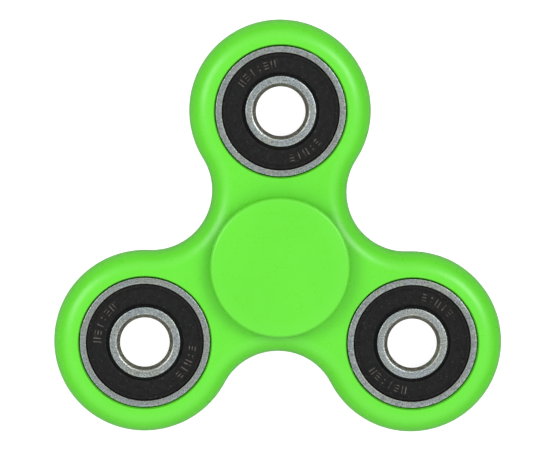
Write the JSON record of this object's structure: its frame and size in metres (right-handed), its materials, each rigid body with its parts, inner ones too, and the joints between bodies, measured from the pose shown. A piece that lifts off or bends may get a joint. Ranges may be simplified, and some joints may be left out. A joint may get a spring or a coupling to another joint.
{
  "type": "fidget spinner",
  "caption": "Finger spinner: a rounded, lobed plastic frame that turns on a capped centre bearing, with an open-bored sealed ball bearing set in each lobe as a weight.",
  "frame": {"origin": "centre of the bottom cap's flat finger pad, on the spin axis, so the spinner stands on z = 0", "axes": "+Z along the spin axis from the bottom cap to the top cap; +Y towards lobe 1; lobes 2 and 3 follow anticlockwise seen from +Z"},
  "size_m": [0.0758, 0.0698, 0.014],
  "materials": {
    "plastic": "lime green moulded ABS, satin gloss",
    "bearing_steel": "ground bearing steel rings with fine turned lines",
    "ball_steel": "polished bearing balls",
    "cage_nylon": "dark glass-filled nylon crown cage",
    "seal_rubber": "matte black nitrile rubber seal"
  },
  "bodies": {
    "hub": {"bottom_cap": "plastic", "top_cap": "plastic", "center_inner_ring": "bearing_steel"},
    "spinner": {"frame": "plastic", "center_outer_ring": "bearing_steel", "lobe_1_outer_ring": "bearing_steel", "lobe_1_upper_seal": "seal_rubber", "lobe_1_lower_seal": "seal_rubber", "lobe_2_outer_ring": "bearing_steel", "lobe_2_upper_seal": "seal_rubber", "lobe_2_lower_seal": "seal_rubber", "lobe_3_outer_ring": "bearing_steel", "lobe_3_upper_seal": "seal_rubber", "lobe_3_lower_seal": "seal_rubber"},
    "center_cage": {"center_cage": "cage_nylon"},
    "center_ball_1": {"center_ball_1": "ball_steel"},
    "center_ball_2": {"center_ball_2": "ball_steel"},
    "center_ball_3": {"center_ball_3": "ball_steel"},
    "center_ball_4": {"center_ball_4": "ball_steel"},
    "center_ball_5": {"center_ball_5": "ball_steel"},
    "center_ball_6": {"center_ball_6": "ball_steel"},
    "center_ball_7": {"center_ball_7": "ball_steel"},
    "lobe_1_inner_ring": {"lobe_1_inner_ring": "bearing_steel"},
    "lobe_1_cage": {"lobe_1_cage": "cage_nylon"},
    "lobe_1_ball_1": {"lobe_1_ball_1": "ball_steel"},
    "lobe_1_ball_2": {"lobe_1_ball_2": "ball_steel"},
    "lobe_1_ball_3": {"lobe_1_ball_3": "ball_steel"},
    "lobe_1_ball_4": {"lobe_1_ball_4": "ball_steel"},
    "lobe_1_ball_5": {"lobe_1_ball_5": "ball_steel"},
    "lobe_1_ball_6": {"lobe_1_ball_6": "ball_steel"},
    "lobe_1_ball_7": {"lobe_1_ball_7": "ball_steel"},
    "lobe_2_inner_ring": {"lobe_2_inner_ring": "bearing_steel"},
    "lobe_2_cage": {"lobe_2_cage": "cage_nylon"},
    "lobe_2_ball_1": {"lobe_2_ball_1": "ball_steel"},
    "lobe_2_ball_2": {"lobe_2_ball_2": "ball_steel"},
    "lobe_2_ball_3": {"lobe_2_ball_3": "ball_steel"},
    "lobe_2_ball_4": {"lobe_2_ball_4": "ball_steel"},
    "lobe_2_ball_5": {"lobe_2_ball_5": "ball_steel"},
    "lobe_2_ball_6": {"lobe_2_ball_6": "ball_steel"},
    "lobe_2_ball_7": {"lobe_2_ball_7": "ball_steel"},
    "lobe_3_inner_ring": {"lobe_3_inner_ring": "bearing_steel"},
    "lobe_3_cage": {"lobe_3_cage": "cage_nylon"},
    "lobe_3_ball_1": {"lobe_3_ball_1": "ball_steel"},
    "lobe_3_ball_2": {"lobe_3_ball_2": "ball_steel"},
    "lobe_3_ball_3": {"lobe_3_ball_3": "ball_steel"},
    "lobe_3_ball_4": {"lobe_3_ball_4": "ball_steel"},
    "lobe_3_ball_5": {"lobe_3_ball_5": "ball_steel"},
    "lobe_3_ball_6": {"lobe_3_ball_6": "ball_steel"},
    "lobe_3_ball_7": {"lobe_3_ball_7": "ball_steel"}
  },
  "joints": [
    {"name": "spin", "type": "hinge", "parent": "hub", "child": "spinner", "pos_m": [0, 0, 0.007], "axis": [0, 0, 1], "continuous": true},
    {"name": "center_cage_turn", "type": "hinge", "parent": "hub", "child": "center_cage", "pos_m": [0, 0, 0.007], "axis": [0, 0, 1], "continuous": true},
    {"name": "center_ball_1_roll", "type": "hinge", "parent": "center_cage", "child": "center_ball_1", "pos_m": [0.0075, 0, 0.007], "axis": [0, 0, 1], "continuous": true},
    {"name": "center_ball_2_roll", "type": "hinge", "parent": "center_cage", "child": "center_ball_2", "pos_m": [0.00468, 0.00586, 0.007], "axis": [0, 0, 1], "continuous": true},
    {"name": "center_ball_3_roll", "type": "hinge", "parent": "center_cage", "child": "center_ball_3", "pos_m": [-0.00167, 0.00731, 0.007], "axis": [0, 0, 1], "continuous": true},
    {"name": "center_ball_4_roll", "type": "hinge", "parent": "center_cage", "child": "center_ball_4", "pos_m": [-0.00676, 0.00325, 0.007], "axis": [0, 0, 1], "continuous": true},
    {"name": "center_ball_5_roll", "type": "hinge", "parent": "center_cage", "child": "center_ball_5", "pos_m": [-0.00676, -0.00325, 0.007], "axis": [0, 0, 1], "continuous": true},
    {"name": "center_ball_6_roll", "type": "hinge", "parent": "center_cage", "child": "center_ball_6", "pos_m": [-0.00167, -0.00731, 0.007], "axis": [0, 0, 1], "continuous": true},
    {"name": "center_ball_7_roll", "type": "hinge", "parent": "center_cage", "child": "center_ball_7", "pos_m": [0.00468, -0.00586, 0.007], "axis": [0, 0, 1], "continuous": true},
    {"name": "lobe_1_turn", "type": "hinge", "parent": "spinner", "child": "lobe_1_inner_ring", "pos_m": [0, 0.0261, 0.007], "axis": [0, 0, 1], "continuous": true},
    {"name": "lobe_1_cage_turn", "type": "hinge", "parent": "spinner", "child": "lobe_1_cage", "pos_m": [0, 0.0261, 0.007], "axis": [0, 0, 1], "continuous": true},
    {"name": "lobe_1_ball_1_roll", "type": "hinge", "parent": "lobe_1_cage", "child": "lobe_1_ball_1", "pos_m": [0.0075, 0.0261, 0.007], "axis": [0, 0, 1], "continuous": true},
    {"name": "lobe_1_ball_2_roll", "type": "hinge", "parent": "lobe_1_cage", "child": "lobe_1_ball_2", "pos_m": [0.00468, 0.03196, 0.007], "axis": [0, 0, 1], "continuous": true},
    {"name": "lobe_1_ball_3_roll", "type": "hinge", "parent": "lobe_1_cage", "child": "lobe_1_ball_3", "pos_m": [-0.00167, 0.03341, 0.007], "axis": [0, 0, 1], "continuous": true},
    {"name": "lobe_1_ball_4_roll", "type": "hinge", "parent": "lobe_1_cage", "child": "lobe_1_ball_4", "pos_m": [-0.00676, 0.02935, 0.007], "axis": [0, 0, 1], "continuous": true},
    {"name": "lobe_1_ball_5_roll", "type": "hinge", "parent": "lobe_1_cage", "child": "lobe_1_ball_5", "pos_m": [-0.00676, 0.02285, 0.007], "axis": [0, 0, 1], "continuous": true},
    {"name": "lobe_1_ball_6_roll", "type": "hinge", "parent": "lobe_1_cage", "child": "lobe_1_ball_6", "pos_m": [-0.00167, 0.01879, 0.007], "axis": [0, 0, 1], "continuous": true},
    {"name": "lobe_1_ball_7_roll", "type": "hinge", "parent": "lobe_1_cage", "child": "lobe_1_ball_7", "pos_m": [0.00468, 0.02024, 0.007], "axis": [0, 0, 1], "continuous": true},
    {"name": "lobe_2_turn", "type": "hinge", "parent": "spinner", "child": "lobe_2_inner_ring", "pos_m": [-0.0226, -0.01305, 0.007], "axis": [0, 0, 1], "continuous": true},
    {"name": "lobe_2_cage_turn", "type": "hinge", "parent": "spinner", "child": "lobe_2_cage", "pos_m": [-0.0226, -0.01305, 0.007], "axis": [0, 0, 1], "continuous": true},
    {"name": "lobe_2_ball_1_roll", "type": "hinge", "parent": "lobe_2_cage", "child": "lobe_2_ball_1", "pos_m": [-0.0151, -0.01305, 0.007], "axis": [0, 0, 1], "continuous": true},
    {"name": "lobe_2_ball_2_roll", "type": "hinge", "parent": "lobe_2_cage", "child": "lobe_2_ball_2", "pos_m": [-0.01793, -0.00719, 0.007], "axis": [0, 0, 1], "continuous": true},
    {"name": "lobe_2_ball_3_roll", "type": "hinge", "parent": "lobe_2_cage", "child": "lobe_2_ball_3", "pos_m": [-0.02427, -0.00574, 0.007], "axis": [0, 0, 1], "continuous": true},
    {"name": "lobe_2_ball_4_roll", "type": "hinge", "parent": "lobe_2_cage", "child": "lobe_2_ball_4", "pos_m": [-0.02936, -0.0098, 0.007], "axis": [0, 0, 1], "continuous": true},
    {"name": "lobe_2_ball_5_roll", "type": "hinge", "parent": "lobe_2_cage", "child": "lobe_2_ball_5", "pos_m": [-0.02936, -0.0163, 0.007], "axis": [0, 0, 1], "continuous": true},
    {"name": "lobe_2_ball_6_roll", "type": "hinge", "parent": "lobe_2_cage", "child": "lobe_2_ball_6", "pos_m": [-0.02427, -0.02036, 0.007], "axis": [0, 0, 1], "continuous": true},
    {"name": "lobe_2_ball_7_roll", "type": "hinge", "parent": "lobe_2_cage", "child": "lobe_2_ball_7", "pos_m": [-0.01793, -0.01891, 0.007], "axis": [0, 0, 1], "continuous": true},
    {"name": "lobe_3_turn", "type": "hinge", "parent": "spinner", "child": "lobe_3_inner_ring", "pos_m": [0.0226, -0.01305, 0.007], "axis": [0, 0, 1], "continuous": true},
    {"name": "lobe_3_cage_turn", "type": "hinge", "parent": "spinner", "child": "lobe_3_cage", "pos_m": [0.0226, -0.01305, 0.007], "axis": [0, 0, 1], "continuous": true},
    {"name": "lobe_3_ball_1_roll", "type": "hinge", "parent": "lobe_3_cage", "child": "lobe_3_ball_1", "pos_m": [0.0301, -0.01305, 0.007], "axis": [0, 0, 1], "continuous": true},
    {"name": "lobe_3_ball_2_roll", "type": "hinge", "parent": "lobe_3_cage", "child": "lobe_3_ball_2", "pos_m": [0.02728, -0.00719, 0.007], "axis": [0, 0, 1], "continuous": true},
    {"name": "lobe_3_ball_3_roll", "type": "hinge", "parent": "lobe_3_cage", "child": "lobe_3_ball_3", "pos_m": [0.02093, -0.00574, 0.007], "axis": [0, 0, 1], "continuous": true},
    {"name": "lobe_3_ball_4_roll", "type": "hinge", "parent": "lobe_3_cage", "child": "lobe_3_ball_4", "pos_m": [0.01585, -0.0098, 0.007], "axis": [0, 0, 1], "continuous": true},
    {"name": "lobe_3_ball_5_roll", "type": "hinge", "parent": "lobe_3_cage", "child": "lobe_3_ball_5", "pos_m": [0.01585, -0.0163, 0.007], "axis": [0, 0, 1], "continuous": true},
    {"name": "lobe_3_ball_6_roll", "type": "hinge", "parent": "lobe_3_cage", "child": "lobe_3_ball_6", "pos_m": [0.02093, -0.02036, 0.007], "axis": [0, 0, 1], "continuous": true},
    {"name": "lobe_3_ball_7_roll", "type": "hinge", "parent": "lobe_3_cage", "child": "lobe_3_ball_7", "pos_m": [0.02728, -0.01891, 0.007], "axis": [0, 0, 1], "continuous": true}
  ],
  "couplings": [
    {"joint": "center_cage_turn", "follows": "spin", "ratio": 0.6323},
    {"joint": "center_ball_1_roll", "follows": "spin", "ratio": 1.7573},
    {"joint": "center_ball_2_roll", "follows": "spin", "ratio": 1.7573},
    {"joint": "center_ball_3_roll", "follows": "spin", "ratio": 1.7573},
    {"joint": "center_ball_4_roll", "follows": "spin", "ratio": 1.7573},
    {"joint": "center_ball_5_roll", "follows": "spin", "ratio": 1.7573},
    {"joint": "center_ball_6_roll", "follows": "spin", "ratio": 1.7573},
    {"joint": "center_ball_7_roll", "follows": "spin", "ratio": 1.7573},
    {"joint": "lobe_1_cage_turn", "follows": "lobe_1_turn", "ratio": 0.3677},
    {"joint": "lobe_1_ball_1_roll", "follows": "lobe_1_turn", "ratio": -1.7573},
    {"joint": "lobe_1_ball_2_roll", "follows": "lobe_1_turn", "ratio": -1.7573},
    {"joint": "lobe_1_ball_3_roll", "follows": "lobe_1_turn", "ratio": -1.7573},
    {"joint": "lobe_1_ball_4_roll", "follows": "lobe_1_turn", "ratio": -1.7573},
    {"joint": "lobe_1_ball_5_roll", "follows": "lobe_1_turn", "ratio": -1.7573},
    {"joint": "lobe_1_ball_6_roll", "follows": "lobe_1_turn", "ratio": -1.7573},
    {"joint": "lobe_1_ball_7_roll", "follows": "lobe_1_turn", "ratio": -1.7573},
    {"joint": "lobe_2_cage_turn", "follows": "lobe_2_turn", "ratio": 0.3677},
    {"joint": "lobe_2_ball_1_roll", "follows": "lobe_2_turn", "ratio": -1.7573},
    {"joint": "lobe_2_ball_2_roll", "follows": "lobe_2_turn", "ratio": -1.7573},
    {"joint": "lobe_2_ball_3_roll", "follows": "lobe_2_turn", "ratio": -1.7573},
    {"joint": "lobe_2_ball_4_roll", "follows": "lobe_2_turn", "ratio": -1.7573},
    {"joint": "lobe_2_ball_5_roll", "follows": "lobe_2_turn", "ratio": -1.7573},
    {"joint": "lobe_2_ball_6_roll", "follows": "lobe_2_turn", "ratio": -1.7573},
    {"joint": "lobe_2_ball_7_roll", "follows": "lobe_2_turn", "ratio": -1.7573},
    {"joint": "lobe_3_cage_turn", "follows": "lobe_3_turn", "ratio": 0.3677},
    {"joint": "lobe_3_ball_1_roll", "follows": "lobe_3_turn", "ratio": -1.7573},
    {"joint": "lobe_3_ball_2_roll", "follows": "lobe_3_turn", "ratio": -1.7573},
    {"joint": "lobe_3_ball_3_roll", "follows": "lobe_3_turn", "ratio": -1.7573},
    {"joint": "lobe_3_ball_4_roll", "follows": "lobe_3_turn", "ratio": -1.7573},
    {"joint": "lobe_3_ball_5_roll", "follows": "lobe_3_turn", "ratio": -1.7573},
    {"joint": "lobe_3_ball_6_roll", "follows": "lobe_3_turn", "ratio": -1.7573},
    {"joint": "lobe_3_ball_7_roll", "follows": "lobe_3_turn", "ratio": -1.7573}
  ]
}
